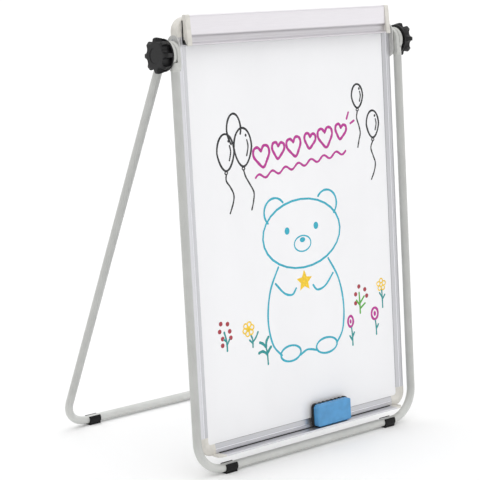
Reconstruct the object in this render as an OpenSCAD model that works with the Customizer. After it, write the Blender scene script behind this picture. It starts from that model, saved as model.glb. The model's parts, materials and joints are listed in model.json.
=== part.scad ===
// Folding double-sided whiteboard easel for children.
// A portrait board hangs between two U-shaped tube stands on a shared pivot axis.
// Axes: +X right, +Y back, +Z up; the feet stand on Z = 0, the front faces -Y.
// All lengths are in millimetres.

/* [Board] */
// Outer width of the board frame
board_w = 600; // [450:10:900]
// Outer height of the board frame
board_h = 900; // [600:10:1200]
// Thickness of the board frame, front to back
frame_t = 20; // [16:1:30]
// Visible width of the frame face
rail_w = 23; // [18:1:35]
// Outer radius of the rounded corner caps
corner_r = 30; // [24:1:50]
// Thickness of each enamelled writing sheet
sheet_t = 0.4; // [0.3:0.1:2]

/* [Stand] */
// Outer diameter of the stand tubes
tube_d = 18; // [14:1:25]
// Wall thickness of the stand tubes
tube_wall = 1.2; // [0.8:0.1:2]
// Distance of each leg axis from the middle of the board
leg_x = 315; // [240:5:480]
// Centre-line radius of the bottom bends
bend_r = 65; // [40:5:100]
// Length from the pivot axis down to the front floor bar
front_len = 854.5; // [600:0.5:1100]
// Lean of the front stand and board from the vertical, in degrees
front_lean = 3; // [0:0.5:12]
// Splay of the rear stand from the vertical, in degrees
rear_lean = 25.4; // [10:0.1:35]
// Offset of each leg axis from the pivot axis
leg_offset = 18; // [14:1:30]
// Distance of each foot from the middle
foot_x = 234; // [150:1:240]
// Length of each clip-on foot
foot_len = 30; // [20:1:50]

/* [Pivot] */
// Distance of the pivot axis below the top edge of the board
pivot_drop = 73.4; // [50:0.1:450]
// Radius of the hinge discs
hinge_r = 28; // [20:1:35]
// Outer radius of the clamping knobs
knob_r = 36; // [25:1:45]
// Height of the clamping knobs along their axis
knob_h = 24; // [18:1:40]
// Number of lobes on each knob
knob_lobes = 8; // [5:1:10]

/* [Clamp and tray] */
// Length of the pad clamp with its end caps
clamp_len = 572; // [400:2:600]
// Width of each clamp end cap
clamp_cap = 11; // [10:1:25]
// Length of the pen tray with its end caps
tray_len = 540; // [300:2:560]
// Depth of the pen tray in front of the frame
tray_depth = 24; // [20:1:60]
// Length of the eraser
eraser_w = 104; // [80:1:150]
// Height of the eraser as it stands in the tray
eraser_h = 52; // [40:1:70]
// Thickness of the eraser with its felt
eraser_t = 20; // [15:1:30]
// Distance of the eraser from the middle of the tray
eraser_x = 61; // [-200:1:200]

/* [Hidden] */
$fn = 64;
tube_r = tube_d / 2;
foot_t = 3;
// height of both floor bars' centre lines above the floor
axis_h = tube_r + foot_t;
half_w = board_w / 2;
half_t = frame_t / 2;
z_top = pivot_drop;
z_bot = pivot_drop - board_h;
// tray floor, and the front lower edge of its end caps
tray_t = 3.4;
floor_z = z_bot + 2.6;
tray_y = -half_t - tray_depth;
tray_front = tray_y - 0.3;
tray_low = floor_z - tray_t;
tray_half = tray_len / 2 - 18;
seal_d = 2.4;
tray_screw_x = 180;
// how far the corner caps stand proud of both frame faces
cap_proud = 0.4;
// height of the pivot axis above the floor
pivot_z = axis_h + front_len * cos(front_lean)
    - leg_offset * sin(front_lean);
rear_len = (pivot_z - axis_h + leg_offset * sin(rear_lean))
    / cos(rear_lean);
// the pivot stands where the whole easel is centred on Y = 0
front_reach = -tray_front * cos(front_lean) - tray_low * sin(front_lean);
rear_reach = leg_offset * cos(rear_lean) + rear_len * sin(rear_lean)
    + axis_h;
pivot_y = (front_reach - rear_reach) / 2;
front_bar_y = pivot_y - leg_offset * cos(front_lean)
    - front_len * sin(front_lean);
rear_bar_y = pivot_y + leg_offset * cos(rear_lean)
    + rear_len * sin(rear_lean);
neck_z = 34;
// board panel: the rails grip its edges in a slot
slot_half = 6.5;
slot_u = 15;
panel_in = 16;
panel_w = board_w - 2 * panel_in;
panel_h = board_h - 2 * panel_in;
z_mid = (z_top + z_bot) / 2;
rail_cap = corner_r + 10;
// pivot stack, measured outwards along X from the board side
plate_t = 3;
inner_washer_x = half_w + plate_t;
front_disc_x = half_w + 5;
front_disc_t = 9.4;
rear_disc_x = leg_x + 0.5;
rear_disc_t = 9.5;
knob_x = 326.5;
bolt_r = 4;
bore_r = 4.06;
knob_base = 3.6;
scallop_r = 9.5;
// clamp
pin_y = -half_t - 5.5;
pin_z = z_top - 3.4;
jaw_y = -slot_half - 0.3;
bar_half = clamp_len / 2 - clamp_cap;
jaw_half = clamp_len / 2 - 2;
// how far the pin reaches into each end cap
pin_reach = 8;
pad_front = -14;
pad_low = 29.6;
pad_top = 66;
// eraser
felt_t = 6;
// how far the felt teeth stand out past the shell
tooth = 1.8;
notch_step = 12;

// ---- placing ----

// board and front stand share this leaning frame, centred on the pivot
module at_board() {
    translate([0, pivot_y, pivot_z]) rotate([-front_lean, 0, 0])
        children();
}

module at_rear() {
    translate([0, pivot_y, pivot_z]) rotate([rear_lean, 0, 0])
        children();
}

// side -1 is the left half, side +1 the right half
module sided(side) {
    if (side > 0) children();
    else mirror([1, 0, 0]) children();
}

// a cylinder along +X from x0
module x_cyl(x0, l, r) {
    translate([x0, 0, 0]) rotate([0, 90, 0]) cylinder(h = l, r = r);
}

// a drawing in the Y-Z plane extruded along +X from x0
module x_sheet(x0, l) {
    translate([x0, 0, 0]) rotate([90, 0, 90]) linear_extrude(l)
        children();
}

// ---- stands ----

// solid U: two legs, two bends and the floor bar, open upwards
module u_solid(r, l, top) {
    z0 = -l + bend_r;
    for (s = [-1, 1]) {
        translate([s * leg_x, 0, z0]) cylinder(h = top - z0, r = r);
    }
    for (s = [0, 1]) mirror([s, 0, 0])
        translate([leg_x - bend_r, 0, z0]) rotate([-90, 0, 0])
            rotate_extrude(angle = 90) translate([bend_r, 0])
                circle(r);
    x_half = leg_x - bend_r;
    translate([-x_half, 0, -l]) rotate([0, 90, 0])
        cylinder(h = 2 * x_half, r = r);
}

module u_tube(l) {
    difference() {
        u_solid(tube_r, l, -neck_z);
        u_solid(tube_r - tube_wall, l, -neck_z + 1);
    }
}

// disc with a rounded rim on the X axis
module hinge_disc(x0, t) {
    f = 2.4;
    translate([x0, 0, 0]) rotate([0, 90, 0]) rotate_extrude() {
        square([hinge_r - f, t]);
        translate([0, f]) square([hinge_r, t - 2 * f]);
        translate([hinge_r - f, f]) circle(f);
        translate([hinge_r - f, t - f]) circle(f);
    }
}

// web that carries the disc into the round neck of the leg
module hinge_web(off) {
    s = sign(off);
    hull() {
        polygon([[s * 27, -5], [s * 4, -27.5], [0, 0]]);
        translate([s * 18, 9 - neck_z]) circle(9);
    }
}

// one hinge half of the right side; other_x is where the other disc lies
module hinge_half(x0, t, off, other_x, other_t) {
    difference() {
        union() {
            hinge_disc(x0, t);
            x_sheet(x0 + 0.6, t - 1.2) hinge_web(off);
            translate([leg_x, off, -neck_z])
                cylinder(h = 18, r = tube_r);
            translate([leg_x, off, -neck_z - 24])
                cylinder(h = 30, r = tube_r - tube_wall - 0.1);
        }
        x_cyl(other_x, other_t, hinge_r + 1.2);
        x_cyl(x0 - 1, t + 2, bore_r);
    }
}

module front_hinge() {
    hinge_half(front_disc_x, front_disc_t, -leg_offset,
        front_disc_x + front_disc_t, 12);
}

module rear_hinge() {
    hinge_half(rear_disc_x, rear_disc_t, leg_offset,
        rear_disc_x - 12, 12);
}

module ring(x0, l, r, bore) {
    difference() {
        x_cyl(x0, l, r);
        x_cyl(x0 - 1, l + 2, bore);
    }
}

// clip-on foot: open ring with a flat sole, drawn around the tube axis
module foot_profile() {
    lip = 1.4;
    difference() {
        union() {
            circle(tube_r + foot_t);
            translate([-9, -axis_h]) square([18, 8]);
        }
        circle(tube_r);
        polygon([[0, 0], [-22, 18.5], [22, 18.5]]);
    }
    for (s = [-1, 1]) translate([s * 8.1, 6.8]) circle(lip);
}

module foot(x, y) {
    translate([0, y, axis_h]) x_sheet(x - foot_len / 2, foot_len)
        foot_profile();
}

// ---- board ----

// rail section: X runs inwards from the outer edge, Y through the
// thickness; g makes it thicker on both faces
module rail_outline(g) {
    h = half_t + g;
    polygon([[0, -7.5], [0.7, -h + 0.7], [2.5, -h], [11, -h],
        [13, -h + 0.4], [21.8, -7.7], [rail_w, -6.9], [rail_w, 6.9],
        [21.8, 7.7], [13, h - 0.4], [11, h], [2.5, h],
        [0.7, h - 0.7], [0, 7.5]]);
}

module rail_section() {
    difference() {
        rail_outline(0);
        translate([1.6, -8.2]) square([slot_u - 1.6, 16.4]);
        translate([slot_u - 1, -slot_half])
            square([rail_w, 2 * slot_half]);
        // shallow decorative grooves along the ridge of both faces
        for (s = [-1, 1]) translate([12, s * (half_t + 0.3)])
            circle(r = 1.4, $fn = 24);
    }
}

module side_rail() {
    l = board_h - 2 * rail_cap;
    difference() {
        translate([half_w, 0, z_bot + rail_cap]) mirror([1, 0, 0])
            linear_extrude(l) rail_section();
        x_cyl(half_w - 3, 5, bolt_r + 0.1);
        for (z = [-1, 1]) translate([0, 0, z * 27])
            x_cyl(half_w - 3, 5, 1.9);
    }
}

module cross_rail() {
    l = board_w - 2 * rail_cap;
    rotate([0, -90, 0]) linear_extrude(l, center = true)
        rail_section();
}

module panel_space() {
    cube([panel_w, 2 * slot_half, panel_h], center = true);
}

// plastic corner of the bottom right, centred on the board
module corner_cap() {
    cx = half_w - corner_r;
    cz = -board_h / 2 + corner_r;
    difference() {
        union() {
            translate([cx, 0, cz]) rotate([-90, 0, 0])
                rotate_extrude(angle = 90) translate([corner_r, 0])
                    mirror([1, 0]) rail_outline(cap_proud);
            translate([half_w, 0, cz]) mirror([1, 0, 0])
                linear_extrude(10) rail_outline(cap_proud);
            translate([cx, 0, -board_h / 2]) rotate([0, -90, 0])
                linear_extrude(10) rail_outline(cap_proud);
        }
        panel_space();
    }
}

module placed_cap(sx, sz) {
    translate([0, 0, z_mid]) mirror([sx > 0 ? 0 : 1, 0, 0])
        mirror([0, 0, sz > 0 ? 1 : 0]) corner_cap();
}

module sheet(side) {
    y0 = side < 0 ? -slot_half : slot_half - sheet_t;
    translate([-panel_w / 2, y0, z_mid - panel_h / 2])
        cube([panel_w, sheet_t, panel_h]);
}

// ---- pivot hardware, right side ----

module pivot_plate() {
    difference() {
        x_sheet(half_w, plate_t) union() {
            square([38, 38], center = true);
            for (s = [-1, 1]) translate([0, s * 19]) circle(19);
        }
        x_cyl(half_w - 1, plate_t + 2, bolt_r + 0.1);
        for (z = [-1, 1]) translate([0, 0, z * 27]) {
            x_cyl(half_w - 1, plate_t + 2, 2.1);
            translate([half_w + 1, 0, 0]) rotate([0, 90, 0])
                cylinder(h = 2.01, r1 = 2.1, r2 = 4.1);
        }
    }
}

module plate_screw(z) {
    translate([0, 0, z]) {
        x_cyl(half_w - 4, 5.2, 1.85);
        translate([half_w + 1, 0, 0]) rotate([0, 90, 0]) difference() {
            cylinder(h = 1.9, r1 = 1.85, r2 = 3.8);
            translate([-2.6, -0.4, 1.2]) cube([5.2, 0.8, 2]);
            translate([-0.4, -2.6, 1.2]) cube([0.8, 5.2, 2]);
        }
    }
}

module pivot_bolt() {
    x_cyl(half_w - 5.6, 4, 8);
    x_cyl(half_w - 2, 344 - half_w + 2, bolt_r);
}

// ---- knob, right side ----

// turned blank: thin round base, waist, then the wide grip with a domed edge
module knob_blank() {
    h = knob_h;
    rotate([0, 90, 0]) rotate_extrude() polygon([[0, 0],
        [knob_r - 3.8, 0], [knob_r - 3, 0.8], [knob_r - 3, knob_base - 0.6],
        [knob_r - 3.6, knob_base], [knob_r - 2.2, knob_base + 2.4],
        [knob_r - 0.8, h - 11], [knob_r, h - 7],
        [knob_r - 0.5, h - 3.6], [knob_r - 2.2, h - 1.4],
        [knob_r - 5, h - 0.5], [knob_r - 10, h], [0, h]]);
}

// finger hollows between the lobes, above the round base
module knob_scallops() {
    step = 360 / knob_lobes;
    for (i = [0 : knob_lobes - 1])
        rotate([(i + 0.5) * step, 0, 0]) translate([0, 0, knob_r - 1])
            x_cyl(knob_base, knob_h, scallop_r);
}

module knob() {
    translate([knob_x, 0, 0]) difference() {
        knob_blank();
        knob_scallops();
        x_cyl(-1, 19, 7.5);
        // shallow dish in the face
        x_cyl(knob_h - 0.8, 2, 16);
    }
}

// ---- clamp ----

function arc(cy, cz, r, a0, a1, n) = [for (i = [0 : n])
    [cy + r * cos(a0 + (a1 - a0) * i / n),
     cz + r * sin(a0 + (a1 - a0) * i / n)]];

// outer face of the clamp bar in Y-Z: rounded top, flat front, a wide
// cove and the forward lip
function clamp_outer() = concat(
    arc(-18.5, z_top - 0.7, 4, 90, 180, 6),
    arc(-20.5, 38.2, 2.5, 180, 232, 4),
    arc(-27.2, 28.6, 8.6, 50, -62, 12),
    arc(-25.2, 17.6, 1.7, 160, 270, 4));

function clamp_inner() = concat(
    [[-24.6, 17.4]],
    arc(-27.2, 28.6, 10.6, -55, 48, 12),
    arc(-20.5, 38.2, 0.5, 232, 180, 2),
    arc(-18.5, z_top - 0.7, 2, 180, 90, 4));

module clamp_shell() {
    polygon(concat([[-11.6, z_top + 3.3]], clamp_outer(),
        clamp_inner(), [[-11.6, z_top + 1.3]]));
}

// end cap: straight front, deep at the pin and stepped back for the pad
module clamp_cap_shape() {
    polygon(concat([[-14, z_top + 4]],
        arc(-18.9, z_top - 0.8, 4.8, 90, 180, 6),
        arc(-26.1, 16.8, 1.5, 180, 270, 4),
        [[-24.4, 15.3], [-17, 27.5], [pad_front, 27.5],
         [pad_front, pad_top], [-11.3, pad_top], [-11.3, z_top - 1]]));
}

module clamp_end() {
    difference() {
        x_sheet(bar_half, clamp_cap) clamp_cap_shape();
        translate([0, pin_y, pin_z]) x_cyl(bar_half - 1, pin_reach + 2, 2.06);
        x_sheet(bar_half - 1, jaw_half + 1 - bar_half) jaw_shape();
    }
}

// rubber pad that fills the gap between an end cap and the frame corner
module clamp_pad() {
    x_sheet(bar_half, clamp_cap)
        translate([pad_front, pad_low]) square([3.4, pad_top - pad_low]);
}

// rubber strip held behind the lip of the clamp bar
module jaw_shape() difference() {
    polygon([[jaw_y, 18], [jaw_y, 27], [jaw_y - 1, 28.2],
        [-16, 29.6], [-17.3, 29], [-18.4, 24.8],
        [-15, 19.5], [jaw_y - 1, 17]]);
    clamp_shell();
}

module clamp_ear(x) {
    x_sheet(x, 3) difference() {
        polygon([[-half_t - 1.6, z_top - 18], [-half_t - 1.6, z_top - 1],
            [-13.5, z_top - 0.4], [-18, z_top - 0.9],
            [-18.9, z_top - 5], [-17, z_top - 9]]);
        translate([pin_y, pin_z]) circle(r = 2, $fn = 32);
    }
}

// ---- nodes ----

module front_stand_tube() color("#d3d4d2")
    at_board() translate([0, -leg_offset, 0]) u_tube(front_len);
module front_hinge_left() color("#cfcfca")
    at_board() sided(-1) front_hinge();
module front_hinge_right() color("#cfcfca")
    at_board() sided(1) front_hinge();
module friction_washer_left() color("#303030") at_board() sided(-1)
    ring(front_disc_x + front_disc_t, 0.8, 19, bore_r);
module friction_washer_right() color("#303030") at_board() sided(1)
    ring(front_disc_x + front_disc_t, 0.8, 19, bore_r);
module foot_front_left() color("#1c1c1e") foot(-foot_x, front_bar_y);
module foot_front_right() color("#1c1c1e") foot(foot_x, front_bar_y);

module rear_stand_tube() color("#d3d4d2")
    at_rear() translate([0, leg_offset, 0]) u_tube(rear_len);
module rear_hinge_left() color("#cfcfca")
    at_rear() sided(-1) rear_hinge();
module rear_hinge_right() color("#cfcfca")
    at_rear() sided(1) rear_hinge();
module knob_washer_left() color("#b9babd") at_rear() sided(-1)
    ring(rear_disc_x + rear_disc_t, 1.2, 12, bore_r);
module knob_washer_right() color("#b9babd") at_rear() sided(1)
    ring(rear_disc_x + rear_disc_t, 1.2, 12, bore_r);
module foot_rear_left() color("#1c1c1e") foot(-foot_x, rear_bar_y);
module foot_rear_right() color("#1c1c1e") foot(foot_x, rear_bar_y);

module board_core() color("#b9a27c") at_board()
    translate([0, 0, z_mid]) cube([panel_w, 2 * (slot_half - sheet_t),
        panel_h], center = true);
module writing_surface_front() color("#f6f6f8") at_board() sheet(-1);
module writing_surface_rear() color("#f6f6f8") at_board() sheet(1);
module frame_left() color("#c9cacc") at_board() sided(-1) side_rail();
module frame_right() color("#c9cacc") at_board() sided(1) side_rail();
module frame_top() color("#c9cacc") at_board()
    translate([0, 0, z_top]) mirror([0, 0, 1]) cross_rail();
module frame_bottom() color("#c9cacc") at_board() difference() {
    translate([0, 0, z_bot]) cross_rail();
    screw_holes();
}
module corner_cap_top_left() color("#dcd8ce")
    at_board() placed_cap(-1, 1);
module corner_cap_top_right() color("#dcd8ce")
    at_board() placed_cap(1, 1);
module corner_cap_bottom_left() color("#dcd8ce")
    at_board() placed_cap(-1, -1);
module corner_cap_bottom_right() color("#dcd8ce")
    at_board() placed_cap(1, -1);

module pivot_plate_left() color("#d0d0ce")
    at_board() sided(-1) pivot_plate();
module pivot_plate_right() color("#d0d0ce")
    at_board() sided(1) pivot_plate();
module plate_screw_upper_left() color("#9b9ca0")
    at_board() sided(-1) plate_screw(27);
module plate_screw_lower_left() color("#9b9ca0")
    at_board() sided(-1) plate_screw(-27);
module plate_screw_upper_right() color("#9b9ca0")
    at_board() sided(1) plate_screw(27);
module plate_screw_lower_right() color("#9b9ca0")
    at_board() sided(1) plate_screw(-27);
module pivot_bolt_left() color("#9b9ca0")
    at_board() sided(-1) pivot_bolt();
module pivot_bolt_right() color("#9b9ca0")
    at_board() sided(1) pivot_bolt();
module spacer_washer_left() color("#242426") at_board() sided(-1)
    ring(inner_washer_x, 1.7, 18, bolt_r + 0.1);
module spacer_washer_right() color("#242426") at_board() sided(1)
    ring(inner_washer_x, 1.7, 18, bolt_r + 0.1);

module screw_holes() {
    for (s = [-1, 1]) translate([s * tray_screw_x, -1, z_bot - 3])
        cylinder(h = 6, r = 1.9);
}

// flat shelf that carries on under the frame as its fixing flange
module pen_tray() color("#cfd0d2") at_board() {
    difference() {
        x_sheet(-tray_half, 2 * tray_half) union() {
            translate([tray_y, tray_low])
                square([tray_depth, tray_t]);
            translate([-half_t - 1, z_bot - 1.8]) square([15, 1.8]);
            translate([tray_y + 0.9, floor_z - 0.2]) circle(0.9, $fn = 24);
        }
        screw_holes();
    }
}

module tray_end() {
    r = 9;
    depth = tray_depth - cap_proud;
    difference() {
        translate([tray_half, tray_front, tray_low]) union() {
            cube([r, depth, tray_t + 1]);
            translate([0, r, 0]) cube([2 * r, depth - r, tray_t + 1]);
            translate([r, r, 0]) cylinder(h = tray_t + 1, r = r);
        }
        translate([tray_half - 1, tray_y + 2, floor_z])
            cube([15.5, tray_depth, 3]);
    }
}

module tray_end_left() color("#dedad0") at_board()
    sided(-1) tray_end();
module tray_end_right() color("#dedad0") at_board()
    sided(1) tray_end();
module tray_seal() color("#1a1a1c") at_board()
    translate([-tray_half, -half_t - seal_d, floor_z])
        cube([2 * tray_half, seal_d, 1.2]);

module tray_screw(x) {
    translate([x, -1, z_bot - 1.8]) {
        translate([0, 0, -1.6]) cylinder(h = 1.6, r = 3.6);
        cylinder(h = 4.4, r = 1.85);
    }
}
module tray_screw_left() color("#9b9ca0") at_board() tray_screw(-tray_screw_x);
module tray_screw_right() color("#9b9ca0") at_board() tray_screw(tray_screw_x);

module clamp_base() color("#c2c3c6") at_board() {
    l = half_w - rail_cap - 3;
    x_sheet(-l, 2 * l)
        translate([-half_t - 1.6, z_top - 20]) square([1.6, 18.6]);
    for (x = [-250, -1.5, 247]) clamp_ear(x);
}
module clamp_pin() color("#a4a5a9") at_board()
    translate([0, pin_y, pin_z])
        x_cyl(-bar_half - pin_reach, 2 * (bar_half + pin_reach), 2);
module clamp_bar() color("#d9d9dc") at_board()
    x_sheet(-bar_half, 2 * bar_half) clamp_shell();
module clamp_end_left() color("#dedad0") at_board()
    sided(-1) clamp_end();
module clamp_end_right() color("#dedad0") at_board()
    sided(1) clamp_end();
module clamp_pad_left() color("#1a1a1c") at_board()
    sided(-1) clamp_pad();
module clamp_pad_right() color("#1a1a1c") at_board()
    sided(1) clamp_pad();
module clamp_jaw() color("#1a1a1c") at_board() difference() {
    x_sheet(-jaw_half, 2 * jaw_half) jaw_shape();
    // both ends step forward over the side rails
    for (s = [-1, 1]) translate([s * half_w, jaw_y, 22])
        cube([2 * (rail_w + 1), 8, 20], center = true);
}

module knob_left() color("#232325") at_board() sided(-1) knob();
module knob_right() color("#232325") at_board() sided(1) knob();
module knob_insert_left() color("#b08d4a") at_board()
    sided(-1) ring(knob_x + 0.4, 17, 7.5, bore_r);
module knob_insert_right() color("#b08d4a") at_board()
    sided(1) ring(knob_x + 0.4, 17, 7.5, bore_r);

// eraser standing in the tray, felt towards the board
module eraser_at() {
    translate([eraser_x, -half_t - seal_d - 0.3, floor_z + 0.3])
        children();
}

// round-cornered slab seen from the front, from y0 towards the back
module eraser_slab(inset, r, y0, depth) {
    w = eraser_w / 2 - inset - r;
    translate([0, y0 + depth, 0]) rotate([90, 0, 0])
        linear_extrude(depth) {
            for (x = [-w, w], z = [inset + r, eraser_h - inset - r])
                translate([x, z]) circle(r);
            translate([-w - r, inset + r])
                square([2 * (w + r), eraser_h - 2 * (inset + r)]);
            translate([-w, inset]) square([2 * w, eraser_h - 2 * inset]);
        }
}

module eraser_shell() color("#3c86c8") at_board() eraser_at() {
    bevel = 3;
    hw = eraser_w / 2 - tooth;
    low = tooth;
    high = eraser_h - tooth;
    side_y = bevel - eraser_t;
    intersection() {
        eraser_slab(tooth, 8, -eraser_t, eraser_t - felt_t);
        linear_extrude(eraser_h) polygon([[-hw, -felt_t], [-hw, side_y],
            [-hw + bevel, -eraser_t], [hw - bevel, -eraser_t],
            [hw, side_y], [hw, -felt_t]]);
        x_sheet(-hw, 2 * hw) polygon([[-felt_t, low], [side_y, low],
            [-eraser_t, low + bevel], [-eraser_t, high - bevel],
            [side_y, high], [-felt_t, high]]);
    }
}
module eraser_felt() color("#151516") at_board() eraser_at()
    difference() {
        eraser_slab(0, 9, -felt_t, felt_t);
        // notches along both long edges
        for (i = [-3 : 3], z = [0, eraser_h])
            translate([i * notch_step - 3.6, -felt_t - 1, z - tooth])
                cube([7.2, felt_t + 2, 2 * tooth]);
    }

front_stand_tube();
front_hinge_left();
front_hinge_right();
friction_washer_left();
friction_washer_right();
foot_front_left();
foot_front_right();
rear_stand_tube();
rear_hinge_left();
rear_hinge_right();
knob_washer_left();
knob_washer_right();
foot_rear_left();
foot_rear_right();
board_core();
writing_surface_front();
writing_surface_rear();
frame_left();
frame_right();
frame_top();
frame_bottom();
corner_cap_top_left();
corner_cap_top_right();
corner_cap_bottom_left();
corner_cap_bottom_right();
pivot_plate_left();
pivot_plate_right();
plate_screw_upper_left();
plate_screw_lower_left();
plate_screw_upper_right();
plate_screw_lower_right();
pivot_bolt_left();
pivot_bolt_right();
spacer_washer_left();
spacer_washer_right();
pen_tray();
tray_end_left();
tray_end_right();
tray_seal();
tray_screw_left();
tray_screw_right();
clamp_base();
clamp_pin();
clamp_bar();
clamp_end_left();
clamp_end_right();
clamp_pad_left();
clamp_pad_right();
clamp_jaw();
knob_left();
knob_right();
knob_insert_left();
knob_insert_right();
eraser_shell();
eraser_felt();
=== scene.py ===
"""Folding children's easel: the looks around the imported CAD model. Lengths are metres unless a name says mm."""
import json
import math

import bpy
from mathutils import Matrix, Vector


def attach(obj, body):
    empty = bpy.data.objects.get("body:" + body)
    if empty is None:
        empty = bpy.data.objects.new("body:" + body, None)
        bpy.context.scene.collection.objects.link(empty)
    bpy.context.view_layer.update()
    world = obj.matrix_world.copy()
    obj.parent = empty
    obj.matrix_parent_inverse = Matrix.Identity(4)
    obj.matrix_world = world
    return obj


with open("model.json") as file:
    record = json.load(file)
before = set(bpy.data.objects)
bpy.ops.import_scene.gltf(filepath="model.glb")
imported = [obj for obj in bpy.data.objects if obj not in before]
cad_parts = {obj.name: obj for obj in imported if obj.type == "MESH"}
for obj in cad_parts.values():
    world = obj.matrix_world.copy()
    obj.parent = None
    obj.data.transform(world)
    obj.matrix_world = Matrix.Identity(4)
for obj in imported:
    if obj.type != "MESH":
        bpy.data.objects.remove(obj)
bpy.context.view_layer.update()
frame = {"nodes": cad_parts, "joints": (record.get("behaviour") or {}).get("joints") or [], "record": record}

MM = 0.001

# ---------------------------------------------------------------- the board's own frame

joints = {joint["name"]: joint for joint in frame["joints"]}
PIVOT = Vector(joints["board_flip"]["pos_m"])
BOARD_UP = Vector(joints["eraser_lift"]["axis"]).normalized()
BOARD_RIGHT = Vector((1, 0, 0))
BOARD_BACK = BOARD_UP.cross(BOARD_RIGHT)


def on_board(x, y, z):
    """A point in millimetres from the pivot: x to the right, y towards the back, z up the board."""
    return PIVOT + (BOARD_RIGHT * x + BOARD_BACK * y + BOARD_UP * z) * MM


# ---------------------------------------------------------------- materials


def srgb(red, green, blue):
    """Linear colour from 0-255 sRGB values."""

    def linear(value):
        value /= 255
        return value / 12.92 if value <= 0.04045 else ((value + 0.055) / 1.055) ** 2.4

    return (linear(red), linear(green), linear(blue), 1)


def shade(colour, factor):
    """A colour made lighter or darker by a factor."""
    return tuple(channel * factor for channel in colour[:3]) + (1,)


WHITE = (1, 1, 1, 1)


class Surface:
    """A node material on the Principled shader, built up in layers in object space."""

    # a Mix node's sockets when it mixes colours: both have the same names for every data type
    MIX_FACTOR, MIX_FIRST, MIX_SECOND, MIX_RESULT = 0, 6, 7, 2

    def __init__(self, name, roughness, metallic=0.0, coat=0.0, coat_roughness=0.1, specular=0.5):
        self.material = bpy.data.materials.new(name)
        self.material.use_nodes = True
        self.tree = self.material.node_tree
        self.shader = self.tree.nodes["Principled BSDF"]
        self.shader.inputs["Roughness"].default_value = roughness
        self.shader.inputs["Metallic"].default_value = metallic
        self.shader.inputs["Coat Weight"].default_value = coat
        self.shader.inputs["Coat Roughness"].default_value = coat_roughness
        self.shader.inputs["Specular IOR Level"].default_value = specular
        self.place = self.tree.nodes.new("ShaderNodeTexCoord").outputs["Object"]
        self.height = None

    def node(self, kind, **values):
        """A new node with some of its settings."""
        made = self.tree.nodes.new(kind)
        for name, value in values.items():
            setattr(made, name, value)
        return made

    def noise(self, scale, detail=3.0, stretch=(1, 1, 1), roughness=0.5):
        """Noise from 0 to 1. scale is in features per metre; stretch scales each axis."""
        mapping = self.node("ShaderNodeMapping")
        mapping.inputs["Scale"].default_value = stretch
        self.tree.links.new(self.place, mapping.inputs["Vector"])
        made = self.node("ShaderNodeTexNoise")
        made.inputs["Scale"].default_value = scale
        made.inputs["Detail"].default_value = detail
        made.inputs["Roughness"].default_value = roughness
        self.tree.links.new(mapping.outputs["Vector"], made.inputs["Vector"])
        return made.outputs["Fac"]

    def ramp(self, fac, stops):
        """A colour ramp through (position, colour) stops."""
        made = self.node("ShaderNodeValToRGB")
        elements = made.color_ramp.elements
        while len(elements) < len(stops):
            elements.new(0.5)
        for element, (position, colour) in zip(elements, stops):
            element.position = position
            element.color = colour
        self.tree.links.new(fac, made.inputs["Fac"])
        return made.outputs["Color"]

    def mottle(self, fac, base, dark, light, low=0.3, high=0.7):
        """The base colour, from its dark to its light factor as fac goes from low to high."""
        return self.ramp(fac, [(low, shade(base, dark)), (high, shade(base, light))])

    def measure(self, axis, origin, low, high, mirrored=False):
        """0 to 1 from low to high, in millimetres from origin along axis, to both sides if mirrored."""
        dot = self.node("ShaderNodeVectorMath", operation="DOT_PRODUCT")
        dot.inputs[1].default_value = axis
        self.tree.links.new(self.place, dot.inputs[0])
        offset = self.node("ShaderNodeMath", operation="SUBTRACT")
        offset.inputs[1].default_value = origin.dot(axis)
        self.tree.links.new(dot.outputs["Value"], offset.inputs[0])
        if mirrored:
            size = self.node("ShaderNodeMath", operation="ABSOLUTE")
            self.tree.links.new(offset.outputs[0], size.inputs[0])
            offset = size
        made = self.node("ShaderNodeMapRange")
        made.inputs["From Min"].default_value = low * MM
        made.inputs["From Max"].default_value = high * MM
        self.tree.links.new(offset.outputs[0], made.inputs["Value"])
        return made.outputs["Result"]

    def times(self, first, second):
        """One colour times another."""
        made = self.node("ShaderNodeMix", data_type="RGBA", blend_type="MULTIPLY")
        made.inputs[self.MIX_FACTOR].default_value = 1
        self.tree.links.new(first, made.inputs[self.MIX_FIRST])
        self.tree.links.new(second, made.inputs[self.MIX_SECOND])
        return made.outputs[self.MIX_RESULT]

    def colour(self, socket):
        """Takes the base colour from a socket."""
        self.tree.links.new(socket, self.shader.inputs["Base Color"])

    def rough(self, fac, low, high):
        """Roughness that runs from low to high with fac."""
        made = self.node("ShaderNodeMapRange")
        made.inputs["To Min"].default_value = low
        made.inputs["To Max"].default_value = high
        self.tree.links.new(fac, made.inputs["Value"])
        self.tree.links.new(made.outputs["Result"], self.shader.inputs["Roughness"])

    def bump(self, fac, depth_mm, strength=1.0):
        """Raises the surface by fac times depth_mm, on top of earlier bumps."""
        made = self.node("ShaderNodeBump")
        made.inputs["Distance"].default_value = depth_mm * MM
        made.inputs["Strength"].default_value = strength
        self.tree.links.new(fac, made.inputs["Height"])
        if self.height:
            self.tree.links.new(self.height, made.inputs["Normal"])
        self.height = made.outputs["Normal"]
        self.tree.links.new(self.height, self.shader.inputs["Normal"])


FLOOR_BARS_PAINTED_LIGHT_MM = (25, 80)  # heights between which the painted light on the floor bars fades out: paler where the bars lie in their own shade


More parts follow.
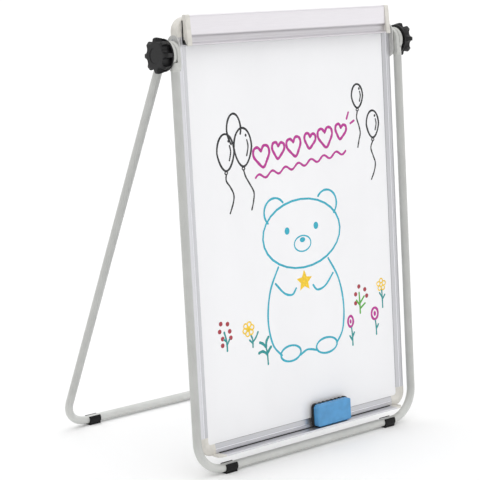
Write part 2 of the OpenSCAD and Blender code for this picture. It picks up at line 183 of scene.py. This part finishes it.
def coated_tube():
    """Light grey powder coat with a faint orange peel, and painted light that makes the bars at the floor paler
    where they lie in their own shade.
    """
    made = Surface("powder_coat", 0.34, coat=0.3, coat_roughness=0.2)
    # painted light: the bars near the floor are made paler, to lift them out of their own shade
    height = made.measure(Vector((0, 0, 1)), Vector(), *FLOOR_BARS_PAINTED_LIGHT_MM)
    painted_light = made.ramp(height, [(0, shade(WHITE, 1.25)), (1, WHITE)])
    made.colour(made.times(made.mottle(made.noise(30), srgb(188, 189, 186), 0.95, 1.04), painted_light))
    made.rough(made.noise(120), 0.28, 0.42)
    made.bump(made.noise(700, 2), 0.06, 0.35)
    return made.material


def satin_metal(name, base, along, roughness, painted_light_stops, place):
    """Anodised extrusion: fine drawn lines along one axis of the frame, and painted highlights and shade that
    follow its section.
    """
    stretch = tuple(0.02 if axis == along else 1.0 for axis in range(3))
    made = Surface(name, roughness, metallic=0.85)
    lines = made.noise(1400, 2, stretch)
    # painted highlights and shade, set by place across the section: a bright line on the rails' ridge, darker
    # bevels and a darker clamp cove
    painted_section_light = made.ramp(place(made), [(at, shade(WHITE, tone)) for at, tone in painted_light_stops])
    made.colour(made.times(made.mottle(lines, base, 0.975, 1.02), painted_section_light))
    made.rough(made.noise(400, 3, stretch), roughness - 0.03, roughness + 0.05)
    made.bump(lines, 0.01, 0.2)
    return made.material


def moulded(name, base, roughness, grain_mm=0.04, grain_scale=900, coat=0.0, specular=0.5):
    """Injection-moulded plastic or rubber with a fine grain."""
    made = Surface(name, roughness, coat=coat, specular=specular)
    made.colour(made.mottle(made.noise(60, 4), base, 0.9, 1.08))
    made.rough(made.noise(160, 3), roughness - 0.06, roughness + 0.08)
    made.bump(made.noise(grain_scale, 2), grain_mm, 0.5)
    return made.material


def enamel():
    """Glossy dry-wipe enamel: nearly flawless, with a trace of wiped ink dust and long soft waves."""
    made = Surface("white_enamel", 0.16, coat=0.35, coat_roughness=0.06)
    dust = made.noise(7, 5, (1, 1, 0.5))
    made.colour(made.mottle(dust, srgb(248, 248, 250), 0.975, 1, 0.35, 0.65))
    made.rough(made.noise(14, 4, (1, 1, 0.3)), 0.12, 0.24)
    made.bump(made.noise(3.5, 1), 0.5, 0.12)
    return made.material


def brushed(name, base, roughness):
    """Turned or brushed bare metal, with its lines across the easel."""
    made = Surface(name, roughness, metallic=1.0)
    lines = made.noise(1500, 2, (0.05, 1, 1))
    made.colour(made.mottle(lines, base, 0.85, 1.05))
    made.rough(lines, roughness - 0.08, roughness + 0.1)
    made.bump(lines, 0.02, 0.5)
    return made.material


def felt():
    """Black pressed felt with loose fibres."""
    made = Surface("pressed_felt", 0.95, specular=0.15)
    fibres = made.noise(2200, 4, (1, 1, 0.4), 0.7)
    made.colour(made.ramp(fibres, [(0.35, srgb(10, 10, 12)), (0.7, srgb(44, 44, 48))]))
    made.bump(fibres, 0.35, 0.8)
    made.shader.inputs["Sheen Weight"].default_value = 0.2
    return made.material


def core_board():
    """The brown paper board inside the panel."""
    made = Surface("core_board", 0.85)
    made.colour(made.mottle(made.noise(300, 5), srgb(196, 172, 132), 0.8, 1.1))
    made.bump(made.noise(500, 3), 0.1, 0.6)
    return made.material


def ink(name, base):
    """Dry-wipe ink: a thin film with lighter streaks where the marker ran drier."""
    made = Surface(name, 0.42, coat=0.15, coat_roughness=0.2)
    streaks = made.noise(260, 4, (1, 1, 0.6), 0.65)
    made.colour(made.ramp(streaks, [(0.36, shade(base, 0.85)), (0.58, base), (0.74, shade(base, 1.35))]))
    made.rough(made.noise(500, 2), 0.34, 0.5)
    made.bump(streaks, 0.02, 0.5)
    return made.material


# the board, in millimetres
HALF_WIDTH = 300
HALF_HEIGHT = 450
RAIL = 23
BOARD_MIDDLE = on_board(0, 0, -376.6)
CLAMP_COVE = (15, 40)  # from the clamp's lip to its flat front, above the pivot

# (place, painted light factor) across a section, as painted highlights and shade: the rail from its inner lip to
# its outer edge, the clamp up its cove
RAIL_PAINTED_LIGHT = [(0.0, 0.5), (0.06, 0.82), (0.42, 0.82), (0.45, 1.3), (0.5, 1.3), (0.54, 0.68), (0.6, 0.97)]
CLAMP_PAINTED_SHADE = [(0.0, 0.5), (0.1, 0.95), (0.45, 0.86), (0.8, 0.56), (0.95, 1.0)]
ALLOY = srgb(220, 220, 224)
ALONG_X, ALONG_Z = 0, 2


def across_cross_rail(made):
    return made.measure(BOARD_UP, BOARD_MIDDLE, HALF_HEIGHT - RAIL, HALF_HEIGHT, mirrored=True)


def across_upright(made):
    return made.measure(BOARD_RIGHT, BOARD_MIDDLE, HALF_WIDTH - RAIL, HALF_WIDTH, mirrored=True)


def up_the_clamp(made):
    return made.measure(BOARD_UP, PIVOT, *CLAMP_COVE)


MATERIALS = {
    "tube_paint": coated_tube(),
    "hinge_paint": moulded("hinge_paint", srgb(196, 197, 193), 0.3, grain_mm=0.03, grain_scale=500, coat=0.3),
    "foot_rubber": moulded(
        "foot_rubber", srgb(16, 16, 17), 0.42, grain_mm=0.08, grain_scale=700, specular=0.22),
    "washer_nylon": moulded("washer_nylon", srgb(30, 30, 32), 0.5),
    "bright_steel": brushed("zinc_plate", srgb(176, 178, 182), 0.3),
    "panel_core": core_board(),
    "white_enamel": enamel(),
    "frame_alloy": satin_metal("satin_frame_across", ALLOY, ALONG_X, 0.3, RAIL_PAINTED_LIGHT, across_cross_rail),
    "frame_alloy_upright": satin_metal("satin_frame_upright", ALLOY, ALONG_Z, 0.3, RAIL_PAINTED_LIGHT, across_upright),
    "cream_plastic": moulded("cream_plastic", srgb(220, 217, 210), 0.36, grain_mm=0.03, grain_scale=800),
    "plate_paint": moulded("plate_paint", srgb(196, 196, 194), 0.4, grain_mm=0.03, grain_scale=500),
    "black_seal": moulded("black_strip", srgb(22, 22, 24), 0.6),
    "clamp_alloy": satin_metal("satin_clamp", srgb(233, 230, 234), ALONG_X, 0.32, CLAMP_PAINTED_SHADE, up_the_clamp),
    "knob_plastic": moulded(
        "knob_plastic", srgb(20, 20, 21), 0.34, grain_mm=0.06, grain_scale=1100, specular=0.3),
    "insert_brass": brushed("turned_brass", srgb(190, 152, 84), 0.28),
    "eraser_plastic": moulded("eraser_plastic", srgb(78, 152, 206), 0.42, grain_mm=0.05, coat=0.15),
    "eraser_felt": felt(),
}

slots = {part["node"]: part["material_slot"] for part in frame["record"]["subparts"]}
for name, node in frame["nodes"].items():
    slot = slots[name]
    if name in ("frame_left", "frame_right"):
        slot += "_upright"
    node.data.materials.clear()
    node.data.materials.append(MATERIALS[slot])

# ---------------------------------------------------------------- softened moulded edges

# bevel widths by the start of a node's name
SOFT_EDGES_MM = {
    "eraser_shell": 1.2, "eraser_felt": 0.5, "knob_": 1.1, "foot_": 0.5, "clamp_end_": 0.6,
    "tray_end_": 0.5, "corner_cap_": 0.5, "pivot_plate_": 0.5, "front_hinge_": 0.9, "rear_hinge_": 0.9,
    "clamp_bar": 0.3, "pen_tray": 0.3,
}
SHARP = ("knob_insert", "knob_washer")
SMALLEST_CORNER = math.radians(35)

for name, node in frame["nodes"].items():
    width = next((size for start, size in SOFT_EDGES_MM.items() if name.startswith(start)), None)
    if width and not name.startswith(SHARP):
        bevel = node.modifiers.new("softened_edges", "BEVEL")
        bevel.width = width * MM
        bevel.segments = 3
        bevel.limit_method = "ANGLE"
        bevel.angle_limit = SMALLEST_CORNER
        bevel.harden_normals = True

# ---------------------------------------------------------------- drawings in marker on the front sheet

SHEET_Y = -6.5  # mm, the front sheet's surface
INK_GAP = 0.005  # mm, keeps the ink clear of the sheet


def oval(x, z, rx, rz, start=0, end=360, steps=28):
    """Points on an oval, anticlockwise from start to end degrees, with 0 at the right."""
    angles = [math.radians(start + (end - start) * i / steps) for i in range(steps + 1)]
    return [(x + rx * math.cos(a), z + rz * math.sin(a)) for a in angles]


def smooth(points, steps=7):
    """A Catmull-Rom curve through a few points."""
    ends = [points[0]] + list(points) + [points[-1]]
    curve = []
    for a, b, c, d in zip(ends, ends[1:], ends[2:], ends[3:]):
        for i in range(steps):
            t = i / steps
            curve.append(tuple(
                0.5 * (2 * q + (r - p) * t + (2 * p - 5 * q + 4 * r - s) * t ** 2
                       + (3 * q - p - 3 * r + s) * t ** 3)
                for p, q, r, s in zip(a, b, c, d)))
    return curve + [points[-1]]


class Marker:
    """Ink of one colour: thin domed ribbons and dots that lie on the sheet."""

    ACROSS = ((-1, 0), (-0.65, 0.75), (0, 1), (0.65, 0.75), (1, 0))  # a ribbon's (side, height)
    SHOULDER, SHOULDER_HEIGHT = 0.65, 0.75  # the same dome on a dot
    THICK = 0.14  # mm
    DOT_STEPS = 20
    WAVER = 0.08  # how much a stroke's width changes along its way

    def __init__(self, name, base):
        self.name = name
        self.base = base
        self.verts = []
        self.faces = []

    def point(self, x, z, height):
        """Adds a vertex, at a height of 0 to 1 in the ink, and gives its number."""
        self.verts.append(on_board(x, SHEET_Y - INK_GAP - self.THICK * height, z))
        return len(self.verts) - 1

    def line(self, points, width):
        """A ribbon with round ends, a little wider and narrower along its way."""
        points = [Vector(point) for point in points]
        rows = []
        for i, middle in enumerate(points):
            along = (points[min(i + 1, len(points) - 1)] - points[max(i - 1, 0)]).normalized()
            waver = 1 + self.WAVER * math.sin(i * 0.9 + points[0].x)
            side = Vector((-along.y, along.x)) * width / 2 * waver
            rows.append([self.point(*(middle + side * offset), height) for offset, height in self.ACROSS])
        for row, following in zip(rows, rows[1:]):
            for i in range(len(row) - 1):
                self.faces.append((row[i], row[i + 1], following[i + 1], following[i]))
        for tip in (points[0], points[-1]):
            self.dot(tip.x, tip.y, width / 2, width / 2)

    def lines(self, width, *strokes):
        """Several strokes, each smoothed through its points."""
        for stroke in strokes:
            self.line(smooth(stroke), width)

    def ring(self, x, z, rx, rz, height):
        return [self.point(a, b, height) for a, b in oval(x, z, rx, rz, steps=self.DOT_STEPS)[:-1]]

    def dot(self, x, z, rx, rz):
        """A filled oval."""
        rim = self.ring(x, z, rx, rz, 0)
        inner = self.ring(x, z, rx * self.SHOULDER, rz * self.SHOULDER, self.SHOULDER_HEIGHT)
        top = self.point(x, z, 1)
        for i in range(self.DOT_STEPS):
            j = (i + 1) % self.DOT_STEPS
            self.faces.append((rim[i], rim[j], inner[j], inner[i]))
            self.faces.append((inner[i], inner[j], top))

    def fill(self, x, z, outline):
        """A low filled shape round its middle."""
        rim = [self.point(a, b, 0.3) for a, b in outline]
        top = self.point(x, z, 0.5)
        for i in range(len(rim)):
            self.faces.append((rim[i], rim[(i + 1) % len(rim)], top))

    def done(self):
        """Makes the object and lets it ride the board."""
        mesh = bpy.data.meshes.new(self.name)
        mesh.from_pydata(self.verts, [], self.faces)
        mesh.update()
        mesh.shade_smooth()
        mesh.materials.append(ink(self.name + "_ink", self.base))
        made = bpy.data.objects.new(self.name, mesh)
        bpy.context.scene.collection.objects.link(made)
        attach(made, "board")


black = Marker("drawing_black", srgb(22, 22, 28))
teal = Marker("drawing_teal", srgb(34, 176, 200))
leaf = Marker("drawing_blue_green", srgb(20, 150, 150))
magenta = Marker("drawing_magenta", srgb(190, 30, 148))
green = Marker("drawing_green", srgb(88, 176, 60))
yellow = Marker("drawing_yellow", srgb(250, 208, 30))
crimson = Marker("drawing_crimson", srgb(170, 44, 60))


def balloon(x, z, rx, rz, string, start=0, end=360):
    """A balloon's outline, narrower below its middle (x, z), with its knot, string and shine marks.

    A balloon behind others has no string, and only its outline from start to end degrees is drawn.
    """
    black.line([(x + (px - x) * (1 - 0.22 * max(0, z - pz) / rz), pz)
                for px, pz in oval(x, z, rx, rz, start, end)], 4.6)
    if not string:
        return
    black.line(oval(x - 1, z - rz - 4, 3.6, 3, steps=10), 3.0)
    black.line(smooth([(x - 1, z - rz - 7)] + [(x + dx, z - rz - dz) for dx, dz in string]), 3.8)
    black.line(smooth([(x + rx * 0.5, z + rz * 0.35), (x + rx * 0.6, z), (x + rx * 0.4, z - rz * 0.45)]), 3.6)
    black.dot(x + rx * 0.4, z + rz * 0.6, 2.6, 3.2)


balloon(-163, -162, 19, 34, (), -15, 235)
balloon(-188, -206, 23, 38, ((-2, 20), (8, 34), (16, 50), (14, 66), (4, 88)))
balloon(-141, -199, 24, 40, ((4, 22), (14, 38), (24, 56), (22, 74), (16, 92)))
balloon(195, -117, 17, 26, ((-4, 22), (2, 40), (5, 56), (0, 72), (-4, 86)))
balloon(239, -182, 19, 30, ((-8, 22), (-2, 40), (4, 56), (0, 74), (-10, 92)))


def heart(x, z, size, tilt):
    """A heart outline drawn in one stroke from its notch."""
    half = [(0, 0.28), (0.2, 0.5), (0.45, 0.42), (0.5, 0.12), (0.3, -0.2), (0, -0.5)]
    shape = half + [(-a, b) for a, b in reversed(half[:-1])]
    turn = Matrix.Rotation(math.radians(tilt), 2)
    places = [turn @ Vector(point) * size for point in shape]
    magenta.line(smooth([(x + place.x, z + place.y) for place in places]), 6.2)


# a row of hearts over a wavy line, rising a little to the right, and two short strokes
HEARTS = ((44, 8), (34, -6), (40, 10), (32, -8), (42, 6), (32, -10))  # (size, tilt in degrees)
for i, (size, tilt) in enumerate(HEARTS):
    heart(-90 + i * 46, -224 + i * 6 + (3 if i % 2 else 0), size, tilt)
magenta.line([(-110 + t * 2.5, -266 + t * 0.3 + 5 * math.sin(t * 0.42)) for t in range(106)], 5.0)
magenta.lines(5.0, ((166, -151), (160, -164)), ((182, -170), (171, -175)))

# a plain teddy: ears, head, sides and seat, snout, nose and eyes, arms, feet, and a star in its paws
OUTLINE = 4.8
teal.line(oval(-62, -344, 30, 30, 38, 226), OUTLINE)
teal.line(oval(88, -342, 30, 30, -46, 142), OUTLINE)
teal.line(oval(13, -398, 112, 74), OUTLINE)
teal.lines(OUTLINE, ((-60, -462), (-86, -510), (-96, -570), (-86, -624), (-62, -652)),
           ((86, -462), (114, -510), (126, -570), (120, -624), (100, -652)),
           ((-8, -660), (13, -652), (40, -658)))
teal.line(oval(13, -420, 24, 17), OUTLINE * 0.7)
teal.dot(13, -412, 8, 5.5)
teal.dot(-30, -388, 7, 8)
teal.dot(54, -386, 7, 8)
teal.lines(OUTLINE, ((-70, -496), (-46, -520), (-24, -526), (-12, -514)),
           ((98, -496), (74, -520), (50, -526), (38, -514)))
teal.line(oval(-36, -652, 29, 17), OUTLINE)
teal.line(oval(70, -652, 31, 17), OUTLINE)
star = [(13 + size * math.sin(i * math.pi / 5), -502 + size * math.cos(i * math.pi / 5))
        for i, size in enumerate((22, 10) * 5)]
yellow.fill(13, -502, star)
yellow.line(star + star[:1], 3.0)


def berries(*places):
    """Small red dots."""
    for x, z in places:
        crimson.dot(x, z, 5, 5)


def petals(x, z, count, reach, radius, start, width):
    """Yellow loops in a ring round (x, z), the first at start degrees."""
    for turn in range(count):
        angle = math.radians(turn * 360 / count + start)
        middle = (x + reach * math.cos(angle), z + reach * math.sin(angle))
        yellow.line(oval(*middle, radius, radius, steps=14), width)


# sprigs and flowers along the bottom, from left to right
berries((-226, -557), (-208, -560), (-230, -573), (-203, -576), (-201, -590), (-223, -589), (-224, -603))
leaf.lines(4.4, ((-212, -616), (-212, -604), (-214, -590), (-218, -576)), ((-212, -604), (-204, -592)),
           ((-213, -596), (-221, -590)))
petals(-152, -580, 6, 10, 5.5, 15, 3.4)
yellow.dot(-152, -580, 5, 5)
leaf.lines(4.2, ((-146, -594), (-142, -604), (-142, -620)), ((-142, -610), (-132, -600), (-126, -590)),
           ((-142, -612), (-150, -604)))
leaf.lines(6.2, ((-106, -626), (-114, -618), (-122, -614)), ((-106, -626), (-104, -614), (-98, -606)),
           ((-105, -640), (-116, -634), (-126, -636)), ((-104, -642), (-98, -634), (-92, -628)))
leaf.lines(4.2, ((-106, -626), (-103, -642), (-102, -664)))
berries((175, -538), (193, -547), (164, -554), (198, -562), (163, -574))
green.lines(4.4, ((176, -598), (176, -580), (175, -552)), ((176, -576), (190, -562)), ((176, -580), (166, -568)),
            ((176, -588), (192, -578)))
petals(245, -544, 5, 9, 5, 18, 3.2)
leaf.lines(4.2, ((246, -556), (247, -576), (247, -596)), ((247, -574), (239, -562)),
           ((247, -578), (255, -568)))
magenta.line(oval(145, -612, 8, 12), 5.6)
magenta.dot(145, -612, 3, 5)
leaf.lines(4.2, ((147, -626), (149, -646), (149, -666)), ((148, -650), (155, -638)),
           ((149, -656), (141, -644)))
magenta.line(oval(221, -606, 10, 13), 5.8)
magenta.dot(221, -606, 4, 6)
leaf.lines(4.2, ((222, -621), (224, -638), (224, -654)), ((224, -642), (231, -632)))

for marker in (black, teal, leaf, magenta, green, yellow, crimson):
    marker.done()

# ---------------------------------------------------------------- floor, light and camera


FLOOR_HALF = 300  # m, so far that its edge lies on the horizon


def floor():
    mesh = bpy.data.meshes.new("floor")
    half = FLOOR_HALF
    corners = [(-half, -half, 0), (half, -half, 0), (half, half, 0), (-half, half, 0)]
    mesh.from_pydata(corners, [], [(0, 1, 2, 3)])
    made = bpy.data.objects.new("floor", mesh)
    bpy.context.scene.collection.objects.link(made)
    paint = Surface("floor_paint", 0.9, specular=0.0)
    paint.shader.inputs["Base Color"].default_value = (0.95, 0.95, 0.95, 1)
    mesh.materials.append(paint.material)


def studio(ambient, horizon, side, overhead):
    """A soft studio dome: an even base, a low wall that is brightest at the right, and an overhead panel."""
    world = bpy.data.worlds.new("studio")
    world.use_nodes = True
    tree = world.node_tree
    direction = tree.nodes.new("ShaderNodeTexCoord").outputs["Generated"]

    def along(axis, low, high):
        """0 to 1 as a direction's cosine with the axis goes from low to high."""
        dot = tree.nodes.new("ShaderNodeVectorMath")
        dot.operation = "DOT_PRODUCT"
        dot.inputs[1].default_value = axis
        tree.links.new(direction, dot.inputs[0])
        step = tree.nodes.new("ShaderNodeMapRange")
        step.interpolation_type = "SMOOTHSTEP"
        step.inputs["From Min"].default_value = low
        step.inputs["From Max"].default_value = high
        tree.links.new(dot.outputs["Value"], step.inputs["Value"])
        return step.outputs["Result"]

    def combine(operation, first, second):
        """A sum, difference or product of two sockets or numbers."""
        made = tree.nodes.new("ShaderNodeMath")
        made.operation = operation
        for value, socket in zip((first, second), made.inputs):
            if isinstance(value, bpy.types.NodeSocket):
                tree.links.new(value, socket)
            else:
                socket.default_value = value
        return made.outputs[0]

    up, to_the_right = (0, 0, 1), (0.97, -0.25, 0)
    low = combine("SUBTRACT", 1, along(up, 0.03, 0.32))
    wall = combine("ADD", combine("MULTIPLY", along(to_the_right, 0.45, 1.0), side), horizon)
    panel = combine("MULTIPLY", along(up, 0.45, 0.95), overhead)
    total = combine("ADD", combine("ADD", combine("MULTIPLY", wall, low), panel), ambient)
    tree.links.new(total, tree.nodes["Background"].inputs["Strength"])
    tree.nodes["Background"].inputs["Color"].default_value = (1, 1, 1, 1)
    bpy.context.scene.world = world


def camera():
    """The viewing angle: from the front left, a little above the board's top edge."""
    place = Vector((-2.275, -2.692, 1.054))
    focal_length_mm = 119.88
    yaw, pitch, roll = (math.radians(angle) for angle in (40.37, 10.06, 1.14))
    forward = Vector((math.sin(yaw) * math.cos(pitch), math.cos(yaw) * math.cos(pitch), -math.sin(pitch)))
    right = Vector((math.cos(yaw), -math.sin(yaw), 0))
    down = forward.cross(right)
    rolled_right = right * math.cos(roll) + down * math.sin(roll)
    rolled_up = right * math.sin(roll) - down * math.cos(roll)
    lens = bpy.data.cameras.new("camera")
    lens.lens = focal_length_mm
    lens.clip_end = 1000
    made = bpy.data.objects.new("camera", lens)
    turn = Matrix((rolled_right, rolled_up, -forward)).transposed()
    made.matrix_world = Matrix.Translation(place) @ turn.to_4x4()
    bpy.context.scene.collection.objects.link(made)
    bpy.context.scene.camera = made


bpy.context.scene.view_settings.view_transform = "Standard"
floor()
studio(ambient=0.66, horizon=0.1, side=0.6, overhead=0.92)
camera()
